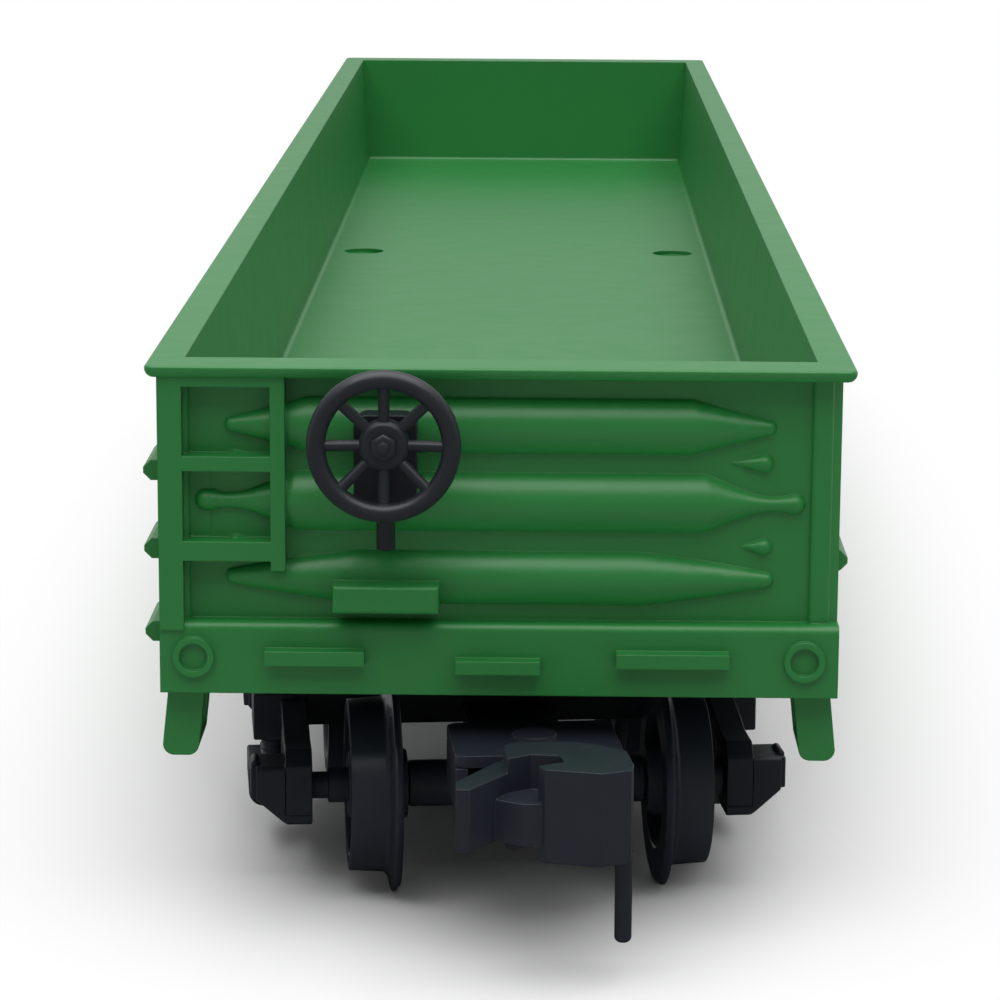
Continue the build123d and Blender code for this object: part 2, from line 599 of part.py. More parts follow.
def make_underframe():
    """Black underframe moulding: plate, centre sill, bolsters, bearers and brake gear."""
    frame = block((-FRAME_X, FRAME_X), (-FRAME_Y, FRAME_Y), (PLATE_Z, PLATE_Z + FRAME_PLATE))
    features = [block((-CENTRE_SILL_WIDTH / 2, CENTRE_SILL_WIDTH / 2), (-FRAME_Y, FRAME_Y),
                      (PLATE_Z - CENTRE_SILL_DEPTH, PLATE_Z))]
    features += both_ends(frame_bolster())
    features += [cross_bearer(y) for y in BEARER_YS]
    features += brake_gear()
    holes = []
    for y in (-SCREW_Y, SCREW_Y):
        low = PLATE_Z - CENTRE_SILL_DEPTH
        features.append(rod((0, y, low), (0, y, PLATE_Z), SCREW_WELL + 2 * SCREW_WELL_WALL))
        holes.append(rod((0, y, low - 1), (0, y, PLATE_Z), SCREW_WELL))
        holes.append(rod((0, y, low), (0, y, RIM_Z), SCREW_DIAMETER + 2 * SCREW_GAP))
    for y in (-PIVOT_Y, PIVOT_Y):
        holes.append(rod((0, y, CENTRE_PLATE_Z - 1), (0, y, PIN_TOP), PIN_DIAMETER))
    return frame + features - holes


def make_screws():
    """The two slotted screws that hold the underframe to the tub."""
    solids = []
    low = PLATE_Z - SCREW_HEAD_HEIGHT
    width, depth = SCREW_SLOT
    for y in (-SCREW_Y, SCREW_Y):
        head = rod((0, y, low), (0, y, PLATE_Z), SCREW_HEAD)
        head = fillet(head.edges().group_by(Axis.Z)[0], SCREW_HEAD_ROUND)
        slot = block((-SCREW_HEAD, SCREW_HEAD), (y - width / 2, y + width / 2), (0, low + depth))
        shank = rod((0, y, PLATE_Z), (0, y, SCREW_TOP - SCREW_END_GAP), SCREW_DIAMETER)
        solids.append(head + shank - slot)
    return Compound(children=solids)


# ---------------------------------------------------------------- trucks

def frame_face():
    """Side of a truck frame as a flat face, with its windows."""
    axle = WHEELBASE / 2
    foot, head = AXLE_Z - PEDESTAL_DROP, AXLE_Z + PEDESTAL_RISE
    half = [(0, FRAME_BOTTOM), (FRAME_FLAT, FRAME_BOTTOM), (axle - PEDESTAL, foot),
            (axle + PEDESTAL, foot), (axle + PEDESTAL, head - PEDESTAL_BEVEL),
            (axle + PEDESTAL - PEDESTAL_BEVEL, head), (axle - PEDESTAL, head),
            (ARCH_FLAT, FRAME_TOP), (0, FRAME_TOP)]
    outline = half + [(-y, z) for y, z in reversed(half[1:-1])]
    near, far = BAY_HALF + BAY_PILLAR, axle - PEDESTAL - PEDESTAL_WALL
    low, high = FRAME_BOTTOM + FRAME_BAR, FRAME_TOP - FRAME_BAR
    window = [(near, low), (far, foot + PEDESTAL_BAR), (far, head - PEDESTAL_BAR), (near, high)]
    bay = [(-BAY_HALF, low), (BAY_HALF, low), (BAY_HALF, high), (-BAY_HALF, high)]
    face = make_face(Polyline(*outline, close=True))
    for hole in (window, [(-y, z) for y, z in window], bay):
        face -= fillet(make_face(Polyline(*hole, close=True)).vertices(), WINDOW_ROUND)
    return face


def journal_box(y):
    """Box on the side frame over an axle's end, with its lid."""
    across, up = BOX_BEVEL
    low, high = AXLE_Z + BOX_Z[0], AXLE_Z + BOX_Z[1]
    outline = [(FRAME_INNER, low), (BOX_OUTER - across, low), (BOX_OUTER, low + up),
               (BOX_OUTER, high), (FRAME_INNER, high)]
    box = plate(outline, Plane.XZ.offset(-y - BOX_HALF), 2 * BOX_HALF)
    box = fillet(box.edges().filter_by(Axis.X), BOX_ROUND)
    lid = block((BOX_OUTER, BOX_OUTER + LID_PROUD), (y - LID_HALF, y + LID_HALF),
                (AXLE_Z + LID_Z[0], AXLE_Z + LID_Z[1]))
    return [box, lid]


def side_frame(side):
    """One Bettendorf side frame with its journal boxes, springs and bearings."""
    face = frame_face()
    web = face - offset(face, -FRAME_LIP)
    yz = Plane(origin=(FRAME_INNER, 0, 0), x_dir=(0, 1, 0), z_dir=(1, 0, 0))
    frame = extrude(yz * face, FRAME_OUTER - FRAME_INNER - FRAME_LIP_HEIGHT)
    frame += extrude(yz * web, FRAME_OUTER - FRAME_INNER)
    features = []
    for y in (-SPRING_PITCH, 0, SPRING_PITCH):
        features.append(rod((SPRING_ROW, y, SEAT_TOP - LAP), (SPRING_ROW, y, BOLSTER_FOOT + LAP),
                            SPRING_DIAMETER))
    reach = (-BOLSTER_END_HALF, BOLSTER_END_HALF)
    features.append(block((FRAME_INNER, BOLSTER_END), reach, (BOLSTER_FOOT, BOLSTER_Z[1])))
    seat = block((FRAME_INNER, SEAT_END), reach, (FRAME_BOTTOM, SEAT_TOP))
    lower_edge = seat.faces().sort_by(Axis.X)[-1].edges().sort_by(Axis.Z)[0]
    features.append(fillet(lower_edge, SEAT_ROUND))
    bearings = []
    for y in (-WHEELBASE / 2, WHEELBASE / 2):
        features += journal_box(y)
        end = AXLE_END + SIDE_PLAY + JOURNAL_CLEARANCE
        bearings.append(rod((FRAME_INNER - 1, y, AXLE_Z), (end, y, AXLE_Z),
                            JOURNAL_DIAMETER + 2 * JOURNAL_CLEARANCE))
    frame = frame + features - bearings
    return frame if side > 0 else mirror(frame, about=Plane.YZ)


def make_truck_frame():
    """One-piece truck frame: side frames, bolster, coupler tongue and pocket."""
    frame = side_frame(1) + side_frame(-1)
    half = BOLSTER_WIDTH / 2
    low, high = BOLSTER_Z
    features = [block((-FRAME_INNER - LAP, FRAME_INNER + LAP), (-half, half), (low, high))]
    features.append(rod((0, 0, high), (0, 0, CENTRE_PLATE_Z), CENTRE_PLATE_DIAMETER))
    tongue_low, tongue_high = TONGUE_Z
    features.append(block((-TONGUE_WIDTH / 2, TONGUE_WIDTH / 2),
                          (-POCKET_BACK - POCKET_WALL / 2, -half + LAP),
                          (tongue_low - TONGUE_RIB, tongue_high + TONGUE_RIB)))
    outer = POCKET_INNER / 2 + POCKET_WALL
    inner = POCKET_INNER / 2
    wall_top = SHANK_Z[1] + COVER_GAP
    pocket = block((-outer, outer), (-POCKET_FRONT, -POCKET_BACK), (tongue_low, wall_top))
    pocket -= block((-inner, inner), (-POCKET_FRONT - 1, -POCKET_BACK - POCKET_WALL),
                    (tongue_high, wall_top + 1))
    pocket = fillet(pocket.edges().filter_by(Axis.Z).group_by(Axis.Y)[-1], POCKET_ROUND)
    features.append(pocket)
    features.append(rod((0, -COUPLER_PIVOT, tongue_high), (0, -COUPLER_PIVOT, wall_top),
                        COUPLER_POST))
    frame = frame + features
    hole = rod((0, 0, 0), (0, 0, RIM_Z), PIN_DIAMETER + 2 * PIN_CLEARANCE)
    return frame - hole


def make_kingpin():
    """Push-in pin that holds a truck up to the underframe."""
    low = BOLSTER_Z[0] - PIN_END_GAP
    head = rod((0, 0, low - PIN_HEAD_HEIGHT), (0, 0, low), PIN_HEAD)
    head = fillet(head.edges().group_by(Axis.Z)[0], PIN_ROUND)
    shank = rod((0, 0, low), (0, 0, PIN_TOP), PIN_DIAMETER)
    return head + chamfer(shank.edges().group_by(Axis.Z)[-1], PIN_BEVEL)


def make_axle(y):
    """Axle with a thick waist, and a shoulder and a journal at each end."""
    waist = WHEEL_OUTER - WHEEL_WIDTH - HUB_PROUD - AXLE_WAIST_GAP
    middle = rod((-waist, y, AXLE_Z), (waist, y, AXLE_Z), AXLE_WAIST)
    shaft = rod((-JOURNAL_START, y, AXLE_Z), (JOURNAL_START, y, AXLE_Z), AXLE_DIAMETER)
    journals = rod((-AXLE_END, y, AXLE_Z), (AXLE_END, y, AXLE_Z), JOURNAL_DIAMETER)
    return middle + shaft + chamfer(journals.edges().filter_by(GeomType.CIRCLE), AXLE_BEVEL)


def make_wheel(y, side):
    """Wheel with flange, coned tread, dished plate and hub, turned about its axle."""
    tread = TREAD_DIAMETER / 2
    inner = WHEEL_OUTER - WHEEL_WIDTH
    root = inner + FLANGE_WIDTH
    top = tread + FLANGE_DEPTH
    bore = AXLE_DIAMETER / 2
    back, face = PLATE_DEPTHS
    points = [
        (inner - HUB_PROUD, bore), (inner - HUB_PROUD, HUB_RADII[0]),
        (inner + back[0], HUB_RADII[1]), (inner + back[1], PLATE_RADII[0]),
        (inner, PLATE_RADII[1]), (inner, top - FLANGE_BEVEL), (inner + FLANGE_BEVEL, top),
        (inner + FLANGE_BEVEL + FLANGE_CREST, top), (root, tread + FLANGE_ROOT),
        (root + FLANGE_ROOT, tread), (WHEEL_OUTER, tread - TREAD_CONE),
        (WHEEL_OUTER, FACE_RIM_RADII[1]), (WHEEL_OUTER - face[1], FACE_RIM_RADII[0]),
        (WHEEL_OUTER - face[0], FACE_HUB_RADII[1]), (WHEEL_OUTER, FACE_HUB_RADII[0]),
        (WHEEL_OUTER, bore),
    ]
    outline = [(side * x, r) for x, r in points]
    plane = Plane(origin=(0, y, AXLE_Z), x_dir=(1, 0, 0), z_dir=(0, -1, 0))
    face = plane * make_face(Polyline(*outline, close=True))
    return revolve(face, Axis((0, y, AXLE_Z), (1, 0, 0)))


# ---------------------------------------------------------------- couplers

def head_outline(shape):
    """Points of the coupler head from a list of shares of its half width and length."""
    length = HEAD_FRONT - HEAD_BACK
    return [(x * HEAD_HALF, -HEAD_BACK - y * length) for x, y in shape]


def make_coupler():
    """Horn-hook coupler: shank, hooked head, guide horn, throat and trip pin."""
    low, high = SHANK_Z
    half = SHANK_WIDTH / 2
    shank = block((-half, half), (-HEAD_BACK - SHANK_ROOT, -COUPLER_PIVOT), (low, high))
    tail = rod((0, -COUPLER_PIVOT, low), (0, -COUPLER_PIVOT, high), TAIL_DIAMETER)
    shank += tail & block((-half, half), (-HEAD_BACK, 0), (low, high))
    base, top = HEAD_Z
    head = plate(head_outline(HORN_SHAPE + HOOK_SHAPE), Plane.XY.offset(base), top - base)
    side = head_outline(HORN_SHAPE)
    split = side[-1][0]
    for z in ((0, base + HORN_INSET), (top - HORN_INSET, RIM_Z)):
        head -= block((-2 * HEAD_HALF, split), (-HEAD_FRONT - 1, -HEAD_BACK + 1), z)
    head += plate(head_outline(THROAT_SHAPE), Plane.XY.offset(base + HORN_INSET),
                  top - THROAT_DROP - base - HORN_INSET)
    trip = rod((TRIP_X, -TRIP_Y, TRIP_BOTTOM), (TRIP_X, -TRIP_Y, base + LAP), TRIP_DIAMETER)
    trip = fillet(trip.edges().group_by(Axis.Z)[0], TRIP_ROUND)
    hole = rod((0, -COUPLER_PIVOT, 0), (0, -COUPLER_PIVOT, RIM_Z),
               COUPLER_POST + 2 * COUPLER_CLEARANCE)
    return shank + head + trip - hole


def make_cover():
    """Lid of the coupler pocket, pegged on the pivot post's top."""
    outer = POCKET_INNER / 2 + POCKET_WALL
    low = SHANK_Z[1] + COVER_GAP
    lid = block((-outer, outer), (-POCKET_FRONT, -POCKET_BACK), (low, low + COVER_THICKNESS))
    lid = fillet(lid.edges().filter_by(Axis.Z), POCKET_ROUND)
    top = low + COVER_THICKNESS + RIVET_PROUD
    rivet = rod((0, -COUPLER_PIVOT, low), (0, -COUPLER_PIVOT, top), RIVET_DIAMETER)
    return lid + rivet


def make_spring():
    """Bronze leaf bent round the coupler's tail, behind its pivot."""
    back = -POCKET_BACK - POCKET_WALL
    low, high = SHANK_Z
    path = [(-SPRING_X, back - SPRING_ARM), (-SPRING_X, back - SPRING_LEAF / 2),
            (SPRING_X, back - SPRING_LEAF / 2), (SPRING_X, back - SPRING_ARM)]
    leaf = FilletPolyline(*path, radius=SPRING_BEND)
    strip = trace(leaf, SPRING_LEAF)
    return extrude(Plane.XY.offset(low + SPRING_INSET) * strip, high - low - 2 * SPRING_INSET)


# ---------------------------------------------------------------- hand brake

def make_housing():
    """Brake gear box plugged into the end, with the rod that runs down from it."""
    z = RIM_Z - BRAKE_DROP
    half = HOUSING_WIDTH / 2
    case = block((BRAKE_X - half, BRAKE_X + half), (PAD_Y - HOUSING_DEPTH, PAD_Y),
                 (RIM_Z - HOUSING_DROPS[1], RIM_Z - HOUSING_DROPS[0]))
    case = fillet(case.edges().filter_by(Axis.Y), HOUSING_ROUND)
    peg = rod((BRAKE_X, PAD_Y, z), (BRAKE_X, PAD_Y + PEG_LENGTH - PEG_GAP, z), PEG_DIAMETER)
    rod_y = PAD_Y - HOUSING_DEPTH / 2
    staff = rod((BRAKE_X, rod_y, RIM_Z - STAFF_DROP), (BRAKE_X, rod_y, z), STAFF_DIAMETER)
    bore = rod((BRAKE_X, PAD_Y - HOUSING_DEPTH - 1, z), (BRAKE_X, PAD_Y - SHAFT_STOP, z),
               BRAKE_SHAFT + 2 * BRAKE_CLEARANCE)
    return case + peg + staff - bore


def make_brake_wheel():
    """Dished hand wheel with round rim, spokes, hub and shaft."""
    z = RIM_Z - BRAKE_DROP
    radius = (BRAKE_DIAMETER - BRAKE_RIM) / 2
    rim_y = -PANEL_Y - BRAKE_REACH
    plane = Plane(origin=(BRAKE_X, rim_y, z), x_dir=(1, 0, 0), z_dir=(0, -1, 0))
    wheel = plane * Torus(radius, BRAKE_RIM / 2)
    hub_y = rim_y + BRAKE_DISH
    hub = rod((BRAKE_X, hub_y - BRAKE_HUB_LENGTH / 2, z), (BRAKE_X, hub_y + BRAKE_HUB_LENGTH / 2, z),
              BRAKE_HUB)
    parts = [fillet(hub.edges().sort_by(Axis.Y)[0], BRAKE_HUB_ROUND)]
    for index in range(BRAKE_SPOKES):
        angle = 2 * math.pi * index / BRAKE_SPOKES
        x = BRAKE_X + radius * math.cos(angle)
        top = z + radius * math.sin(angle)
        parts.append(rod((BRAKE_X, hub_y, z), (x, rim_y, top), BRAKE_SPOKE))
    parts.append(rod((BRAKE_X, hub_y, z), (BRAKE_X, PAD_Y - SHAFT_STOP - PEG_GAP, z), BRAKE_SHAFT))
    return wheel + parts


# ---------------------------------------------------------------- the car

def make_truck_parts(pushed):
    """The pieces of one truck, pivot on the Z axis, coupler towards -Y, outer axle pushed along X."""
    parts = {
        "truck_frame": make_truck_frame(),
        "coupler": make_coupler(),
        "coupler_cover": make_cover(),
        "centring_spring": make_spring(),
    }
    for number, y in ((1, -WHEELBASE / 2), (2, WHEELBASE / 2)):
        wheelset = Pos(pushed if number == 1 else 0, 0, 0)
        parts[f"axle_{number}"] = wheelset * make_axle(y)
        parts[f"wheel_{number}_left"] = wheelset * make_wheel(y, -1)
        parts[f"wheel_{number}_right"] = wheelset * make_wheel(y, 1)
    return parts


def make_car():
    """Every piece of the car by its node name."""
    nodes = {
        "body": make_body(),
        "underframe": make_underframe(),
        "weight_plate": make_weight(),
        "frame_screws": make_screws(),
        "brake_housing": make_housing(),
        "brake_wheel": make_brake_wheel(),
    }
    b_end = Pos(0, -PIVOT_Y, 0)
    a_end = Rot(0, 0, 180) * Pos(0, -PIVOT_Y, 0)
    for name, part in make_truck_parts(PUSHED_AXLE).items():
        nodes[f"{name}_b"] = b_end * Rot(0, 0, TRUCK_TURN) * part
    for name, part in make_truck_parts(0).items():
        nodes[f"{name}_a"] = a_end * part
    nodes["kingpin_b"] = b_end * make_kingpin()
    nodes["kingpin_a"] = a_end * make_kingpin()
    return nodes


if __name__ == "__main__":
    os.makedirs("parts", exist_ok=True)
    for name, part in make_car().items():
        export_step(part, f"parts/{name}.step")
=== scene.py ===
"""Looks of a model railway gondola car: finishes, moulded detail, light and camera.

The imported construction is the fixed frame. Every CAD node keeps its place and size here; the
moulded and turned pieces get softened edges and their finish from the classes below.
"""
import json
import logging
import math
from contextlib import contextmanager
from dataclasses import dataclass, field
from enum import Enum
from typing import Any, Callable, Iterable, Iterator, Optional, Union

import bpy
from mathutils import Matrix, Vector

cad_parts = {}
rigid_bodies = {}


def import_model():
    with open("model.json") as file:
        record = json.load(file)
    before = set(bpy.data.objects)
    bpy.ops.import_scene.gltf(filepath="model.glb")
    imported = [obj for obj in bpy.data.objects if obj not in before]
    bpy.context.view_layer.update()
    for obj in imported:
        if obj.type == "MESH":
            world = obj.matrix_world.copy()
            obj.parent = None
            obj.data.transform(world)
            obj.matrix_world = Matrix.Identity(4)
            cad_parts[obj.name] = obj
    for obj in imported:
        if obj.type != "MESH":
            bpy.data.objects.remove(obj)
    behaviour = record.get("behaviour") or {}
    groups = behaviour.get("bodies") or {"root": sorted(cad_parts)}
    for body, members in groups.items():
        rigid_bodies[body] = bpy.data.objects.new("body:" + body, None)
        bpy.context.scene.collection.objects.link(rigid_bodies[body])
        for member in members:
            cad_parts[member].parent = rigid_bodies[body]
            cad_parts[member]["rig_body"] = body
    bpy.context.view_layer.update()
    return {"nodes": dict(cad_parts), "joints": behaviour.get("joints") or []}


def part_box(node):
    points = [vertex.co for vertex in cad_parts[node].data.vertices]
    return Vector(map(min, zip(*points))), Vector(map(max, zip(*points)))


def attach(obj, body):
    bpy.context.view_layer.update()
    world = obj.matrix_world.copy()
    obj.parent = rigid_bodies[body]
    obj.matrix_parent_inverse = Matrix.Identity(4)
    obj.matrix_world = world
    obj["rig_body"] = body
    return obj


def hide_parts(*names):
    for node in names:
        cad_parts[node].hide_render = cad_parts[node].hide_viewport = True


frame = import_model()

LOG = logging.getLogger("gondola")
MM = 0.001
WELD_M = 2e-6        # vertices nearer than this are one
FLAT_DEG = 0.6       # faces that meet at less than this are one flat face
CORNER_DEG = 34.0    # edges that turn by more than this are rounded and stay sharp
ROUND_MM = 0.10      # width of the rounds along moulded edges
ROUND_STEPS = 2      # faces across a round
END_FACING = 0.9     # share of a face's normal along an axis that makes it an end face
ALONG_X = (0.0, math.radians(90), 0.0)    # lays an upright primitive along X
ALONG_Y = (math.radians(90), 0.0, 0.0)    # lays it along Y
HEXAGON_SIDES = 6
WHITE = (1.0, 1.0, 1.0, 1.0)


# ------------------------------------------------------------------ small helpers

def linear(hex_colour: str) -> tuple[float, float, float, float]:
    """Turns an sRGB hex colour into linear red, green, blue and alpha.

    Args:
        hex_colour: six hex digits, with or without a leading #.

    Returns:
        Four floats, alpha being 1.
    """
    digits = hex_colour.lstrip("#")
    out = []
    for start in (0, 2, 4):
        value = int(digits[start:start + 2], 16) / 255
        out.append(value / 12.92 if value <= 0.04045 else ((value + 0.055) / 1.055) ** 2.4)
    return (out[0], out[1], out[2], 1.0)


def empty_tree(owner: Union[bpy.types.Material, bpy.types.World]) -> bpy.types.NodeTree:
    """Turns on the shader nodes of a material or world and clears them.

    Args:
        owner: the material or world.

    Returns:
        Its node tree, empty.
    """
    owner.use_nodes = True
    owner.node_tree.nodes.clear()
    return owner.node_tree


def add_node(tree: bpy.types.NodeTree, kind: str, settings: Optional[dict[str, Any]] = None,
             **links: Any) -> bpy.types.Node:
    """Adds one shader node with its settings, input values and incoming links.

    Args:
        tree: the node tree of a material or world.
        kind: the node's type name.
        settings: attributes of the node itself.
        **links: input sockets to a value or an output socket. A socket is given by its name,
            spaces as underscores, or by an underscore and its number.

    Returns:
        The new node.
    """
    node = tree.nodes.new(kind)
    for name, value in (settings or {}).items():
        setattr(node, name, value)
    for name, value in links.items():
        socket = next((s for s in node.inputs if s.enabled and s.name == name.replace("_", " ")),
                      None)
        if socket is None:
            socket = node.inputs[int(name.lstrip("_"))]
        if isinstance(value, bpy.types.NodeSocket):
            tree.links.new(value, socket)
        else:
            socket.default_value = value
    return node


def joint_named(name: str) -> dict[str, Any]:
    """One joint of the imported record.

    Args:
        name: the joint's name.

    Returns:
        The joint as the record has it.
    """
    return next(joint for joint in frame["joints"] if joint["name"] == name)


def hexagon_radius(across_mm: float) -> float:
    """Gives the corner radius of a hexagon.

    Args:
        across_mm: its width across flats, in millimetres.

    Returns:
        The radius in metres.
    """
    return across_mm * MM / math.sqrt(3)


# ------------------------------------------------------------------ finishes

@dataclass(frozen=True)
class MouldedPlastic:
    """A filled thermoplastic as it leaves a polished steel mould."""

    name: str
    deep: str                    # colour in the body of the moulding
    pale: str                    # colour where the melt flowed thin
    roughness: float
    roughness_spread: float
    ior: float
    grain_mm: float              # pitch of the mould texture, drawn coarser than real to show
    grain_depth_mm: float
    flow_mm: float               # length of the broad flow marks
    edge_mm: float               # radius that the shading gives to edges
    flow_detail: float = 3.0
    flow_breakup: float = 0.55
    sheen_mm: float = 2.2        # pitch of the patches that are a little duller or shinier
    sheen_detail: float = 4.0
    sheen_range: tuple[float, float] = (0.3, 0.7)    # where most of the noise's values lie
    grain_detail: float = 2.0
    grain_strength: float = 0.6
    edge_samples: int = 6

    def build(self) -> bpy.types.Material:
        """Makes the material.

        Returns:
            The new material.
        """
        material = bpy.data.materials.new(self.name)
        tree = empty_tree(material)
        place = add_node(tree, "ShaderNodeTexCoord").outputs["Object"]
        flow = add_node(tree, "ShaderNodeTexNoise", Vector=place, Scale=1 / (self.flow_mm * MM),
                        Detail=self.flow_detail, Roughness=self.flow_breakup)
        tint = add_node(tree, "ShaderNodeMix", {"data_type": "RGBA"}, Factor=flow.outputs["Fac"],
                        _6=linear(self.deep), _7=linear(self.pale))
        sheen = add_node(tree, "ShaderNodeTexNoise", Vector=place,
                         Scale=1 / (self.sheen_mm * MM), Detail=self.sheen_detail)
        rough = add_node(tree, "ShaderNodeMapRange", Value=sheen.outputs["Fac"],
                         From_Min=self.sheen_range[0], From_Max=self.sheen_range[1],
                         To_Min=self.roughness - self.roughness_spread,
                         To_Max=self.roughness + self.roughness_spread)
        grain = add_node(tree, "ShaderNodeTexNoise", Vector=place,
                         Scale=1 / (self.grain_mm * MM), Detail=self.grain_detail)
        soft = add_node(tree, "ShaderNodeBevel", {"samples": self.edge_samples},
                        Radius=self.edge_mm * MM)
        bump = add_node(tree, "ShaderNodeBump", Strength=self.grain_strength,
                        Distance=self.grain_depth_mm * MM, Height=grain.outputs["Fac"],
                        Normal=soft.outputs["Normal"])
        shader = add_node(tree, "ShaderNodeBsdfPrincipled", Base_Color=tint.outputs[2],
                          Roughness=rough.outputs["Result"], IOR=self.ior,
                          Normal=bump.outputs["Normal"])
        add_node(tree, "ShaderNodeOutputMaterial", Surface=shader.outputs["BSDF"])
        return material


@dataclass(frozen=True)
class BareMetal:
    """Turned or rolled metal with the fine marks of its tool or roll."""

    name: str
    colour: str
    roughness: float
    mark_mm: float                   # pitch of the marks, drawn coarser than real to show
    mark_depth_mm: float
    mark_detail: float = 3.0
    mark_strength: float = 0.5
    roughness_share: float = 0.3     # how far the marks change the roughness, as a share of it

    def build(self) -> bpy.types.Material:
        """Makes the material.

        Returns:
            The new material.
        """
        material = bpy.data.materials.new(self.name)
        tree = empty_tree(material)
        place = add_node(tree, "ShaderNodeTexCoord").outputs["Object"]
        marks = add_node(tree, "ShaderNodeTexNoise", Vector=place, Scale=1 / (self.mark_mm * MM),
                         Detail=self.mark_detail)
        rough = add_node(tree, "ShaderNodeMapRange", Value=marks.outputs["Fac"],
                         To_Min=self.roughness * (1 - self.roughness_share),
                         To_Max=self.roughness * (1 + self.roughness_share))
        bump = add_node(tree, "ShaderNodeBump", Strength=self.mark_strength,
                        Distance=self.mark_depth_mm * MM, Height=marks.outputs["Fac"])
        shader = add_node(tree, "ShaderNodeBsdfPrincipled", Base_Color=linear(self.colour),
                          Metallic=1.0, Roughness=rough.outputs["Result"],
                          Normal=bump.outputs["Normal"])
        add_node(tree, "ShaderNodeOutputMaterial", Surface=shader.outputs["BSDF"])
        return material


class Finish(Enum):
    """Every finish on the car."""

    # Coloured high-impact polystyrene, injection moulded: satin, with a milky sheen at low angles.
    GREEN_STYRENE = MouldedPlastic(
        name="green_polystyrene", deep="#248139", pale="#26853C", roughness=0.40,
        roughness_spread=0.02, ior=1.59, grain_mm=0.14, grain_depth_mm=0.004, flow_mm=14.0,
        edge_mm=0.12)
    # Black acetal, injection moulded: a blue-black, a little waxy.
    BLACK_ACETAL = MouldedPlastic(
        name="black_acetal", deep="#22262F", pale="#282D38", roughness=0.42,
        roughness_spread=0.06, ior=1.48, grain_mm=0.16, grain_depth_mm=0.006, flow_mm=6.0,
        edge_mm=0.05)
    # The same resin on axles and wheels: shinier, with a coarser and shallower mould texture.
    WHEEL_ACETAL = MouldedPlastic(
        name="wheel_acetal", deep="#262A34", pale="#2D323D", roughness=0.36,
        roughness_spread=0.06, ior=1.48, grain_mm=0.20, grain_depth_mm=0.004, flow_mm=4.0,
        edge_mm=0.05)
    # Black polystyrene of the hand brake parts: satin, between the two acetals in sheen.
    BLACK_STYRENE = MouldedPlastic(
        name="black_polystyrene", deep="#20242A", pale="#272C33", roughness=0.38,
        roughness_spread=0.05, ior=1.59, grain_mm=0.16, grain_depth_mm=0.004, flow_mm=4.0,
        edge_mm=0.05)
    # Cold-rolled mild steel strip: dull grey, with the roll's faint texture.
    ROLLED_STEEL = BareMetal(name="rolled_steel", colour="#8C8D90", roughness=0.38, mark_mm=0.2,
                             mark_depth_mm=0.003)
    # Turned steel screws with a blackened finish: dark, with a metal's highlights.
    BLACKENED_STEEL = BareMetal(name="blackened_steel", colour="#4A4B4F", roughness=0.35,
                                mark_mm=0.1, mark_depth_mm=0.002)
    # Phosphor bronze spring strip: warm and brighter than the steels.
    BRONZE = BareMetal(name="phosphor_bronze", colour="#B07A45", roughness=0.32, mark_mm=0.1,
                       mark_depth_mm=0.002)


# ------------------------------------------------------------------ camera and light

@dataclass
class View:
    """The camera: over the brake-wheel end, looking down along the car."""

    rim_front_mm: float = -94.5      # outer face of the near rim
    ahead_mm: float = 180.15         # in front of the near rim
    over_rim_mm: float = 31.36
    side_mm: float = 2.23
    pitch_deg: float = 12.007
    yaw_deg: float = -0.702
    roll_deg: float = 0.346
    lens_mm: float = 126.65
    sensor_mm: float = 36.0
    clip_start: float = 0.01         # metres

    def place(self) -> None:
        """Makes the scene's camera."""
        rim_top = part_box("body")[1].z
        eye = Vector((self.side_mm * MM, self.rim_front_mm * MM - self.ahead_mm * MM,
                      rim_top + self.over_rim_mm * MM))
        pitch, yaw, roll = (math.radians(v) for v in (self.pitch_deg, self.yaw_deg, self.roll_deg))
        ahead = Vector((math.sin(yaw) * math.cos(pitch), math.cos(yaw) * math.cos(pitch),
                        -math.sin(pitch)))
        right = Vector((math.cos(yaw), -math.sin(yaw), 0.0))
        up = right.cross(ahead)
        across = right * math.cos(roll) + up * math.sin(roll)
        upward = up * math.cos(roll) - right * math.sin(roll)
        turn = Matrix((across, upward, -ahead)).transposed()
        bpy.ops.object.camera_add()
        camera = bpy.context.object
        camera.matrix_world = Matrix.Translation(eye) @ turn.to_4x4()
        camera.data.sensor_width = self.sensor_mm
        camera.data.lens = self.lens_mm
        camera.data.clip_start = self.clip_start
        bpy.context.scene.camera = camera


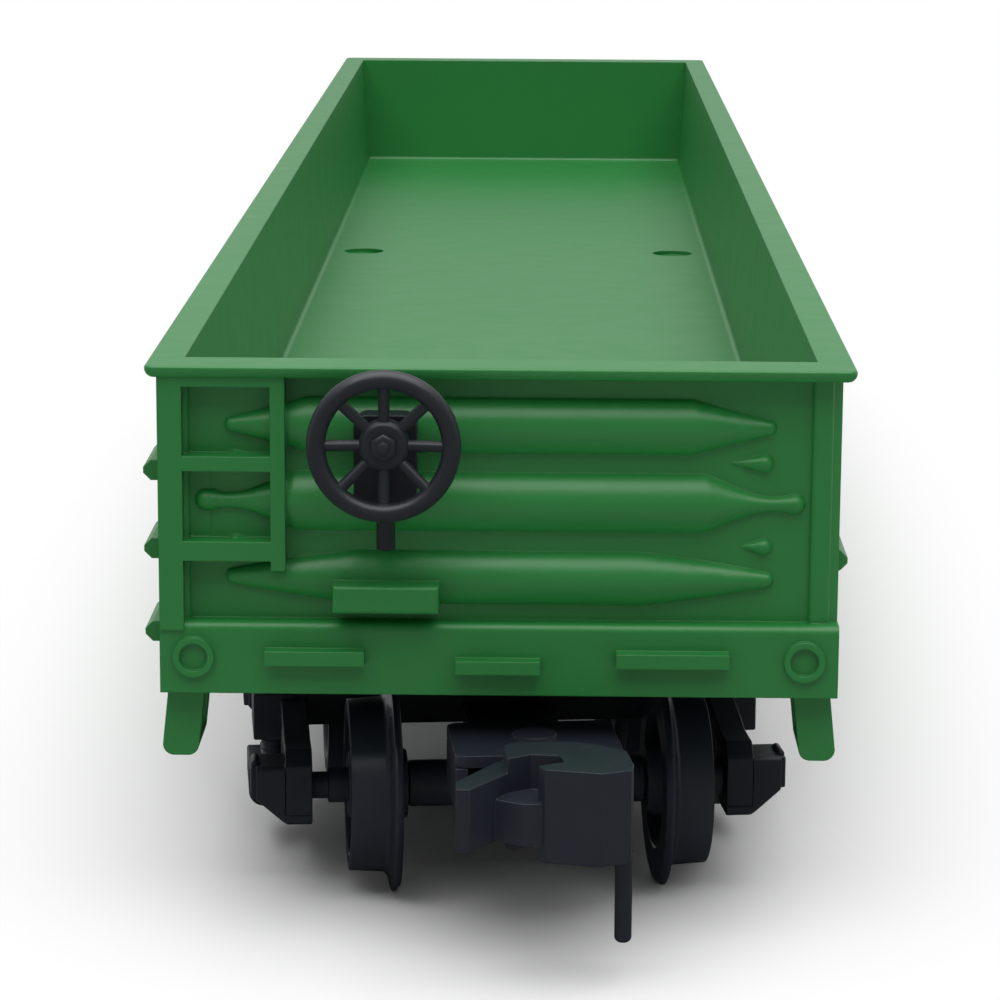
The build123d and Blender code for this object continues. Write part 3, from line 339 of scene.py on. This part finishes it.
@dataclass
class Studio:
    """Pale floor and white backdrop, dimmer towards the camera, with one soft lamp."""

    dim_level: float = 0.08          # the room on the camera's side, as gloss sees it
    front_level: float = 0.19        # the same as matt surfaces see it
    room_level: float = 0.46         # the room behind the car, as matt surfaces see it
    backdrop_level: float = 0.62     # the same as gloss sees it
    room_turn: float = 0.6           # the change spans directions with a Y within this of zero
    lamp_watts: float = 5.15
    lamp_place: tuple[float, float, float] = (0.0, -0.19, 0.63)    # metres
    lamp_side: float = 0.85          # metres
    floor_side: float = 6.0          # metres
    floor_bounce: float = 0.72       # share of light that the floor sends back to the car
    floor_turn_mm: float = 100.0     # gloss sees the floor brighten over this, each way
    clear_mm: float = 150.0          # past this the floor has faded into the white backdrop
    clear_from: float = 0.6          # share of that distance where it starts to
    clear_shape: float = 3.6         # length over width of the part of the floor that is kept

    def build(self) -> None:
        """Makes the world, the floor and the lamp."""
        bpy.context.scene.view_settings.view_transform = "Standard"
        self.room()
        self.floor()
        self.lamp()

    @staticmethod
    def mirrored(tree: bpy.types.NodeTree, path: bpy.types.Node) -> bpy.types.NodeSocket:
        """Tells the rays that gloss sends out from all others.

        Args:
            tree: the node tree of the floor or the world.
            path: its light path node.

        Returns:
            An output that is one for a glossy or a transmission ray, and else zero.
        """
        return add_node(tree, "ShaderNodeMath", {"operation": "MAXIMUM"},
                        _0=path.outputs["Is Glossy Ray"],
                        _1=path.outputs["Is Transmission Ray"]).outputs["Value"]

    def room(self) -> None:
        """White to the camera, and to everything else brighter behind the car than before it."""
        world = bpy.data.worlds.new("studio_white")
        bpy.context.scene.world = world
        tree = empty_tree(world)
        path = add_node(tree, "ShaderNodeLightPath")
        toward = add_node(tree, "ShaderNodeTexCoord").outputs["Generated"]
        behind = add_node(tree, "ShaderNodeSeparateXYZ", Vector=toward).outputs["Y"]
        matt, gloss = (
            add_node(tree, "ShaderNodeMapRange", Value=behind, From_Min=-self.room_turn,
                     From_Max=self.room_turn, To_Min=front, To_Max=back).outputs["Result"]
            for front, back in ((self.front_level, self.room_level),
                                (self.dim_level, self.backdrop_level)))
        seen = add_node(tree, "ShaderNodeMix", _0=self.mirrored(tree, path), _2=matt, _3=gloss)
        level = add_node(tree, "ShaderNodeMix", _0=path.outputs["Is Camera Ray"],
                         _2=seen.outputs[0], _3=1.0)
        sky = add_node(tree, "ShaderNodeBackground", Color=WHITE, Strength=level.outputs[0])
        add_node(tree, "ShaderNodeOutputWorld", Surface=sky.outputs["Background"])

    def floor(self) -> None:
        """A pale floor that keeps the car's shadow and fades to white away from it."""
        deselect()
        bpy.ops.mesh.primitive_plane_add(size=self.floor_side)
        floor = bpy.context.object
        floor.name = "floor"
        material = bpy.data.materials.new("pale_floor")
        tree = empty_tree(material)
        path = add_node(tree, "ShaderNodeLightPath")
        place = add_node(tree, "ShaderNodeTexCoord").outputs["Object"]
        along = add_node(tree, "ShaderNodeSeparateXYZ", Vector=place).outputs["Y"]
        behind = add_node(tree, "ShaderNodeMapRange", Value=along,
                          From_Min=-self.floor_turn_mm * MM, From_Max=self.floor_turn_mm * MM,
                          To_Min=self.dim_level, To_Max=1.0)
        bounce = add_node(tree, "ShaderNodeMix", _0=self.mirrored(tree, path),
                          _2=self.floor_bounce, _3=behind.outputs["Result"])
        tone = add_node(tree, "ShaderNodeMix", _0=path.outputs["Is Camera Ray"],
                        _2=bounce.outputs[0], _3=1.0)
        paint = add_node(tree, "ShaderNodeBsdfDiffuse", Color=tone.outputs[0])
        glow = add_node(tree, "ShaderNodeEmission", Color=WHITE, Strength=1.0)
        across = add_node(tree, "ShaderNodeMapping", Vector=place,
                          Scale=(self.clear_shape, 1.0, 1.0))
        away = add_node(tree, "ShaderNodeVectorMath", {"operation": "LENGTH"},
                        _0=across.outputs["Vector"])
        fade = add_node(tree, "ShaderNodeMapRange", Value=away.outputs["Value"],
                        From_Min=self.clear_from * self.clear_mm * MM,
                        From_Max=self.clear_mm * MM)
        share = add_node(tree, "ShaderNodeMath", {"operation": "MULTIPLY"},
                         _0=fade.outputs["Result"], _1=path.outputs["Is Camera Ray"])
        both = add_node(tree, "ShaderNodeMixShader", _0=share.outputs["Value"],
                        _1=paint.outputs["BSDF"], _2=glow.outputs["Emission"])
        add_node(tree, "ShaderNodeOutputMaterial", Surface=both.outputs["Shader"])
        floor.data.materials.append(material)

    def lamp(self) -> None:
        """A square soft lamp that hangs in front of the car's middle and is aimed at it."""
        place = Vector(self.lamp_place)
        bpy.ops.object.light_add(type="AREA", location=place)
        lamp = bpy.context.object
        lamp.name = "key"
        lamp.rotation_euler = place.to_track_quat("Z", "Y").to_euler()
        lamp.data.energy = self.lamp_watts
        lamp.data.size = self.lamp_side


# ------------------------------------------------------------------ modelling steps

def deselect() -> None:
    """Leaves object mode with nothing selected."""
    if bpy.context.object and bpy.context.object.mode != "OBJECT":
        bpy.ops.object.mode_set(mode="OBJECT")
    bpy.ops.object.select_all(action="DESELECT")


class Element(Enum):
    """What a selection in a mesh is made of."""

    VERTEX = "VERT"
    FACE = "FACE"


@contextmanager
def editing() -> Iterator[None]:
    """Edits the active mesh with all of it selected, and goes back to object mode.

    Yields:
        Nothing, while edit mode is on.
    """
    bpy.ops.object.mode_set(mode="EDIT")
    bpy.ops.mesh.select_all(action="SELECT")
    yield
    bpy.ops.object.mode_set(mode="OBJECT")


def pick(piece: bpy.types.Object, kind: Element, wanted: Callable[[Any], bool]) -> None:
    """Selects some vertices or faces of a piece and goes into edit mode.

    Args:
        piece: the active piece, in object mode.
        kind: vertices or faces.
        wanted: says whether a vertex or face is to be selected.
    """
    bpy.ops.object.mode_set(mode="EDIT")
    bpy.ops.mesh.select_mode(type=kind.value)
    bpy.ops.mesh.select_all(action="DESELECT")
    bpy.ops.object.mode_set(mode="OBJECT")
    for element in piece.data.vertices if kind is Element.VERTEX else piece.data.polygons:
        element.select = wanted(element)
    bpy.ops.object.mode_set(mode="EDIT")


def merged_copy(node: str) -> bpy.types.Object:
    """Copies a CAD node's mesh and merges its loose triangles.

    Args:
        node: the CAD node.

    Returns:
        The new piece, active and selected.
    """
    deselect()
    piece = bpy.data.objects.new(f"{node}_skin", frame["nodes"][node].data.copy())
    bpy.context.scene.collection.objects.link(piece)
    piece.select_set(True)
    bpy.context.view_layer.objects.active = piece
    with editing():
        bpy.ops.mesh.customdata_custom_splitnormals_clear()
        bpy.ops.mesh.remove_doubles(threshold=WELD_M)
    return piece


def copy_to(pattern: bpy.types.Object, name: str, place: Matrix) -> bpy.types.Object:
    """Copies a piece with its own mesh, placed in that mesh.

    Args:
        pattern: the piece to copy, modelled about the origin.
        name: the copy's name.
        place: where the copy goes.

    Returns:
        The copy, its object at the origin.
    """
    piece = bpy.data.objects.new(name, pattern.data.copy())
    piece.data.transform(place)
    bpy.context.scene.collection.objects.link(piece)
    return piece


def box_piece(name: str, low: Vector, high: Vector) -> bpy.types.Object:
    """A plain box between two corners, as a tool or a filling for another piece.

    Args:
        name: its name.
        low: one corner, in millimetres.
        high: the opposite corner, in millimetres.

    Returns:
        The active object.
    """
    deselect()
    bpy.ops.mesh.primitive_cube_add(size=1.0, location=(low + high) * MM / 2,
                                    scale=[abs(side) * MM for side in high - low])
    bpy.ops.object.transform_apply()
    bpy.context.object.name = name
    return bpy.context.object


def smooth(piece: bpy.types.Object, corner_deg: float = CORNER_DEG) -> None:
    """Shades a piece smooth up to its corners and keeps its flat faces flat.

    Args:
        piece: the active, selected piece.
        corner_deg: edges that turn by more than this stay sharp.
    """
    bpy.ops.object.shade_smooth_by_angle(angle=math.radians(corner_deg))
    even = piece.modifiers.new("even_shading", "WEIGHTED_NORMAL")
    even.keep_sharp = True
    bpy.ops.object.modifier_apply(modifier=even.name)


def round_edges(piece: bpy.types.Object, round_mm: float, dense: bool = False) -> None:
    """Rounds every corner edge of a piece.

    Args:
        piece: the active piece.
        round_mm: width of the rounds.
        dense: whether the mesh has short edges, which must not hold the rounds back, and needs
            its outer corners closed with arcs.
    """
    bevel = piece.modifiers.new("rounds", "BEVEL")
    bevel.width = round_mm * MM
    bevel.segments = ROUND_STEPS
    bevel.limit_method = "ANGLE"
    bevel.angle_limit = math.radians(CORNER_DEG)
    if dense:
        bevel.use_clamp_overlap = False
        bevel.miter_outer = "MITER_ARC"
    bpy.ops.object.modifier_apply(modifier=bevel.name)


def finish_mesh(name: str, round_mm: float) -> bpy.types.Object:
    """Turns the active new piece outward, rounds its edges and names it.

    Args:
        name: the piece's name.
        round_mm: width of its rounds.

    Returns:
        The active object.
    """
    piece = bpy.context.object
    piece.name = name
    with editing():
        bpy.ops.mesh.normals_make_consistent(inside=False)
    round_edges(piece, round_mm)
    with editing():
        bpy.ops.mesh.remove_doubles(threshold=WELD_M)
    smooth(piece)
    return piece


@dataclass
class Workshop:
    """Holds the one material of each finish, and files every piece under its body."""

    built: dict[Finish, bpy.types.Material] = field(default_factory=dict)
    filed: int = 0

    def paint(self, piece: bpy.types.Object, finish: Finish) -> None:
        """Gives a piece one finish all over, making its material the first time.

        Args:
            piece: the piece to paint.
            finish: what it is made of.
        """
        if finish not in self.built:
            self.built[finish] = finish.value.build()
        piece.data.materials.clear()
        piece.data.materials.append(self.built[finish])

    def file(self, piece: bpy.types.Object, body: str, finish: Finish,
             slot: Optional[str] = None) -> None:
        """Paints a finished piece, lets it ride on its body and reports it.

        Args:
            piece: the piece, in its place.
            body: the CAD body that carries it.
            finish: what it is made of.
            slot: not used.
        """
        self.paint(piece, finish)
        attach(piece, body)
        self.filed += 1
        LOG.info("%s: %d faces, %s, rides on %s", piece.name, len(piece.data.polygons),
                 finish.value.name, body)

    def skin(self, node: str, finish: Finish, round_mm: float = ROUND_MM) -> None:
        """Makes a merged copy of a CAD node with real rounds along its edges.

        Args:
            node: the CAD node that the copy stands for.
            finish: the copy's finish.
            round_mm: width of the rounds, or 0 to leave the edges to the finish.
        """
        piece = merged_copy(node)
        if round_mm > 0:
            with editing():
                bpy.ops.mesh.dissolve_limited(angle_limit=math.radians(FLAT_DEG))
            round_edges(piece, round_mm, dense=True)
        self.stand_in(piece, node, finish)

    def stand_in(self, piece: bpy.types.Object, node: str, finish: Finish) -> None:
        """Shades a piece and lets it stand for a CAD node.

        Args:
            piece: the active, selected piece.
            node: the CAD node that it stands for.
            finish: its finish.
        """
        smooth(piece)
        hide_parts(node)
        self.file(piece, frame["nodes"][node]["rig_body"], finish)


# ------------------------------------------------------------------ the car

class End(Enum):
    """The two ends of the car; the hand brake is on the B end."""

    B = "b"
    A = "a"


@dataclass
class Tub:
    """The green moulding: sides, ribbed ends, ladders, steps and load floor."""

    shop: Workshop
    foot_x: float = -15.55           # round foot of the middle rib, behind the ladder
    foot_z: float = 23.75
    foot_half: float = 0.56          # half its width on the end panel
    foot_proud: float = 0.47         # its height over the end panel
    foot_split: float = 0.01         # what lies this far toward the rib is drawn into it
    foot_sides: int = 48
    foot_rings: int = 32
    panel_y: float = -92.9           # outer face of the end panel
    bay_x: tuple[float, float] = (-16.4, -15.3)      # from the corner post to inside the rib
    bay_z: tuple[float, float] = (21.725, 25.5)      # between two rungs
    bay_deep: float = 0.3
    lap: float = 0.02                # overlap of the filling with the panel round the cut
    foot_lap: float = 0.1            # how far past the bay's edge it is drawn

    def build(self) -> None:
        """Dresses the tub, with the middle ribs' feet behind the ladders made clean."""
        piece = merged_copy("body")
        for side in (1, -1):
            self.cut_bay(piece, side)
        for side in (1, -1):
            self.fill_bay(piece, side)
        self.shop.stand_in(piece, "body", Finish.GREEN_STYRENE)

    def cut_bay(self, piece: bpy.types.Object, side: int) -> None:
        """Cuts out the bay of the end panel beside one rib's foot.

        Args:
            piece: the tub.
            side: 1 for the brake-wheel end, -1 for the other end, which is the same turned round.
        """
        turn = Vector((side, side, 1.0))
        x, z, lap = self.bay_x, self.bay_z, self.lap
        front = self.panel_y - 2 * self.foot_proud
        tool = box_piece("bay_tool", Vector((x[0] + lap, front, z[0] + lap)) * turn,
                         Vector((x[1], self.panel_y + self.bay_deep, z[1] - lap)) * turn)
        cut = piece.modifiers.new("bay", "BOOLEAN")
        cut.operation = "DIFFERENCE"
        cut.solver = "EXACT"
        cut.object = tool
        bpy.context.view_layer.objects.active = piece
        bpy.ops.object.modifier_apply(modifier=cut.name)
        bpy.data.objects.remove(tool)

    def fill_bay(self, piece: bpy.types.Object, side: int) -> None:
        """Fills the bay with flat panel and the rib's round foot.

        Args:
            piece: the tub.
            side: 1 for the brake-wheel end, -1 for the other end.
        """
        turn = Vector((side, side, 1.0))
        x, z, lap = self.bay_x, self.bay_z, self.lap
        filling = box_piece("bay_panel", Vector((x[0] - lap, self.panel_y, z[0] - lap)) * turn,
                            Vector((x[1] + lap, self.panel_y + self.bay_deep + lap,
                                    z[1] + lap)) * turn)
        radius = (self.foot_half ** 2 + self.foot_proud ** 2) / (2 * self.foot_proud)
        sunk = self.panel_y + radius - self.foot_proud
        deselect()
        bpy.ops.mesh.primitive_uv_sphere_add(
            segments=self.foot_sides, ring_count=self.foot_rings, radius=radius * MM,
            rotation=ALONG_X, location=Vector((self.foot_x, sunk, self.foot_z)) * turn * MM)
        bpy.ops.object.transform_apply()
        foot = bpy.context.object
        split = (self.foot_x + self.foot_split) * side * MM
        pick(foot, Element.VERTEX, lambda vertex: (vertex.co.x - split) * side > 0)
        bpy.ops.transform.translate(
            value=((x[1] - self.foot_x + self.foot_lap) * side * MM, 0.0, 0.0))
        deselect()
        for part in (foot, filling, piece):
            part.select_set(True)
        bpy.context.view_layer.objects.active = piece
        bpy.ops.object.join()


@dataclass
class Underframe:
    """The black plate under the floor, the ballast over it and what holds both."""

    shop: Workshop
    screw_round: float = 0.05

    def build(self) -> None:
        """Dresses the frame, the ballast, the screws and the two truck pins."""
        self.shop.skin("underframe", Finish.BLACK_ACETAL)
        self.shop.skin("weight_plate", Finish.ROLLED_STEEL)
        self.shop.skin("frame_screws", Finish.BLACKENED_STEEL, self.screw_round)
        for end in (End.A, End.B):
            self.shop.skin(f"kingpin_{end.value}", Finish.BLACK_ACETAL)


@dataclass
class HandBrake:
    """Brake housing on the end, and the hand wheel with the nut on its shaft."""

    shop: Workshop
    nut_across: float = 1.25
    nut_thick: float = 0.45
    nut_sink: float = 0.10           # nut into the hub
    nut_crown: float = 0.12          # width of the slope round its face
    nut_crown_rise: float = 0.06
    nut_round: float = 0.04
    hub_face: float = 0.10           # hub's face in front of the wheel's plane
    stud_diameter: float = 0.55
    stud_proud: float = 0.22

    def build(self) -> None:
        """Dresses the housing and the wheel, and adds the nut."""
        self.shop.skin("brake_housing", Finish.BLACK_STYRENE)
        # real rounds would cross each other on the spokes' small curves
        self.shop.skin("brake_wheel", Finish.BLACK_STYRENE, round_mm=0.0)
        self.nut()

    def nut(self) -> None:
        """A hexagon nut with a crowned face, and the shaft's end standing out of it."""
        centre = Vector(joint_named("brake_wheel_turn")["pos_m"])
        back = centre.y - (self.hub_face - self.nut_sink) * MM
        deselect()
        bpy.ops.mesh.primitive_cylinder_add(
            vertices=HEXAGON_SIDES, radius=hexagon_radius(self.nut_across),
            depth=self.nut_thick * MM, rotation=ALONG_Y,
            location=(centre.x, back - self.nut_thick * MM / 2, centre.z))
        bpy.ops.object.transform_apply()
        pick(bpy.context.object, Element.FACE, lambda face: face.normal.y < -END_FACING)
        bpy.ops.mesh.inset(thickness=self.nut_crown * MM)
        bpy.ops.transform.translate(value=(0.0, -self.nut_crown_rise * MM, 0.0))
        bpy.ops.mesh.inset(
            thickness=(self.nut_across - self.stud_diameter) * MM / 2 - self.nut_crown * MM)
        bpy.ops.mesh.extrude_region_move(
            TRANSFORM_OT_translate={"value": (0.0, -self.stud_proud * MM, 0.0)})
        bpy.ops.object.mode_set(mode="OBJECT")
        self.shop.file(finish_mesh("brake_nut", self.nut_round), "brake_wheel",
                       Finish.BLACK_STYRENE, slot="brake_plastic")


@dataclass
class Truck:
    """One truck: frame, pin-jointed wheelsets, coil springs, box hinges and frame bolts."""

    shop: Workshop
    end: End
    wheelbase: float = 19.5
    wheel_round: float = 0.06
    spring_row: float = 13.45        # springs from the truck's centre line
    spring_pitch: float = 1.65
    spring_foot: float = 4.85
    spring_top: float = 6.65
    coil_radius: float = 0.61        # centre of the wire
    coil_turns: int = 4
    coil_steps: int = 20             # for each turn
    coil_corner_deg: float = 50.0    # the wire's few sides shade as one round up to this
    wire: float = 0.30
    wire_sides: int = 8
    hinge_x: float = 14.72           # hinge of a journal box lid
    hinge_z: float = 7.46
    hinge_length: float = 1.5
    hinge_diameter: float = 0.50
    hinge_sides: int = 16
    hinge_step: float = 0.3          # share of its radius by which the lugs are thinner
    hinge_lug: float = 0.12          # how far they stand out of its ends
    hinge_round: float = 0.04
    bolt_x: float = 12.78            # face of the side frame between its lips
    bolt_y: float = 3.9
    bolt_zs: tuple[float, float] = (4.6, 7.0)
    bolt_across: float = 0.62
    bolt_thick: float = 0.40
    bolt_crown: float = 0.10         # width of the step round its face
    bolt_crown_rise: float = 0.05
    bolt_round: float = 0.03

    def build(self) -> None:
        """Dresses the truck's nodes and adds the detail of its side frames."""
        shop, end = self.shop, self.end.value
        shop.skin(f"truck_frame_{end}", Finish.BLACK_ACETAL)
        for number in (1, 2):
            shop.skin(f"axle_{number}_{end}", Finish.WHEEL_ACETAL)
            for side in ("left", "right"):
                shop.skin(f"wheel_{number}_{side}_{end}", Finish.WHEEL_ACETAL, self.wheel_round)
        place = self.place()
        self.springs(place)
        self.hinges(place)
        self.bolts(place)

    def place(self) -> Matrix:
        """Takes the truck's own frame to the car's, from its pivot and its first axle.

        Returns:
            The truck's place and turn in the car.
        """
        pivot = Vector(joint_named(f"truck_{self.end.value}_swivel")["pos_m"])
        axle = joint_named(f"wheelset_1_{self.end.value}_roll")["axis"]
        turn = math.atan2(axle[1], axle[0])
        return Matrix.Translation((pivot.x, pivot.y, 0.0)) @ Matrix.Rotation(turn, 4, "Z")

    def repeat(self, pattern: bpy.types.Object, name: str, places: Iterable[Matrix]) -> None:
        """Copies a pattern to each place, files the copies and deletes the pattern.

        Args:
            pattern: the piece modelled about the origin.
            name: what its copies are called, before the truck's letter and a number.
            places: where they go.
        """
        for number, place in enumerate(places, start=1):
            piece = copy_to(pattern, f"{name}_{self.end.value}_{number}", place)
            self.shop.file(piece, f"truck_{self.end.value}", Finish.BLACK_ACETAL,
                           slot="black_plastic")
        bpy.data.objects.remove(pattern)

    def springs(self, place: Matrix) -> None:
        """Wire of the coil springs, wound round their cores.

        Args:
            place: the truck's own frame in the car's.
        """
        deselect()
        bpy.ops.mesh.primitive_circle_add(
            vertices=self.wire_sides, radius=self.wire * MM / 2, rotation=ALONG_Y,
            location=(self.coil_radius * MM, 0.0, (self.spring_foot + self.wire / 2) * MM))
        bpy.ops.object.transform_apply()
        coil = bpy.context.object
        winding = coil.modifiers.new("winding", "SCREW")
        winding.axis = "Z"
        winding.angle = 2 * math.pi * self.coil_turns
        winding.screw_offset = (self.spring_top - self.spring_foot - self.wire) * MM
        winding.steps = winding.render_steps = self.coil_steps * self.coil_turns
        winding.use_merge_vertices = False
        bpy.ops.object.modifier_apply(modifier=winding.name)
        with editing():
            bpy.ops.mesh.fill_holes(sides=0)
            bpy.ops.mesh.normals_make_consistent(inside=False)
        smooth(coil, self.coil_corner_deg)
        steps = (-self.spring_pitch, 0.0, self.spring_pitch)
        self.repeat(coil, "spring_coil", [
            place @ Matrix.Translation((side * self.spring_row * MM, y * MM, 0.0))
            for side in (-1, 1) for y in steps])

    def hinges(self, place: Matrix) -> None:
        """Hinge barrels over the lids of the journal boxes, with a lug at each end.

        Args:
            place: the truck's own frame in the car's.
        """
        deselect()
        radius = self.hinge_diameter * MM / 2
        bpy.ops.mesh.primitive_cylinder_add(vertices=self.hinge_sides, radius=radius,
                                            depth=self.hinge_length * MM, rotation=ALONG_Y)
        bpy.ops.object.transform_apply()
        pick(bpy.context.object, Element.FACE, lambda face: abs(face.normal.y) > END_FACING)
        bpy.ops.mesh.inset(thickness=self.hinge_step * radius, use_individual=True)
        bpy.ops.mesh.extrude_region_shrink_fatten(
            TRANSFORM_OT_shrink_fatten={"value": self.hinge_lug * MM})
        bpy.ops.object.mode_set(mode="OBJECT")
        self.repeat(finish_mesh("hinge_pattern", self.hinge_round), "lid_hinge", [
            place @ Matrix.Translation((side * self.hinge_x * MM, y * self.wheelbase * MM / 2,
                                        self.hinge_z * MM))
            for side in (-1, 1) for y in (-1, 1)])

    def bolts(self, place: Matrix) -> None:
        """Hexagon bolt heads on the pillars beside the springs.

        Args:
            place: the truck's own frame in the car's.
        """
        deselect()
        bpy.ops.mesh.primitive_cylinder_add(
            vertices=HEXAGON_SIDES, radius=hexagon_radius(self.bolt_across),
            depth=self.bolt_thick * MM, rotation=ALONG_X)
        bpy.ops.object.transform_apply()
        pick(bpy.context.object, Element.FACE, lambda face: abs(face.normal.x) > END_FACING)
        bpy.ops.mesh.inset(thickness=self.bolt_crown * MM, use_individual=True)
        bpy.ops.mesh.extrude_region_shrink_fatten(
            TRANSFORM_OT_shrink_fatten={"value": self.bolt_crown_rise * MM})
        bpy.ops.object.mode_set(mode="OBJECT")
        self.repeat(finish_mesh("bolt_pattern", self.bolt_round), "frame_bolt", [
            place @ Matrix.Translation((side * self.bolt_x * MM, y * self.bolt_y * MM, z * MM))
            for side in (-1, 1) for y in (-1, 1) for z in self.bolt_zs])


@dataclass
class CouplerSet:
    """Coupler, its pocket's cover and its centring spring."""

    shop: Workshop
    end: End
    leaf_round: float = 0.03

    def build(self) -> None:
        """Dresses the three pieces."""
        self.shop.skin(f"coupler_{self.end.value}", Finish.BLACK_ACETAL)
        self.shop.skin(f"coupler_cover_{self.end.value}", Finish.BLACK_ACETAL)
        self.shop.skin(f"centring_spring_{self.end.value}", Finish.BRONZE, self.leaf_round)


def main() -> None:
    """Dresses the car and sets up the studio."""
    logging.basicConfig(level=logging.INFO, format="%(name)s %(message)s")
    shop = Workshop()
    assemblies = [Tub(shop), Underframe(shop), HandBrake(shop)]
    for end in End:
        assemblies += [Truck(shop, end), CouplerSet(shop, end)]
    for assembly in assemblies:
        assembly.build()
    LOG.info("%d pieces filed", shop.filed)
    Studio().build()
    View().place()


if __name__ == "__main__":
    main()
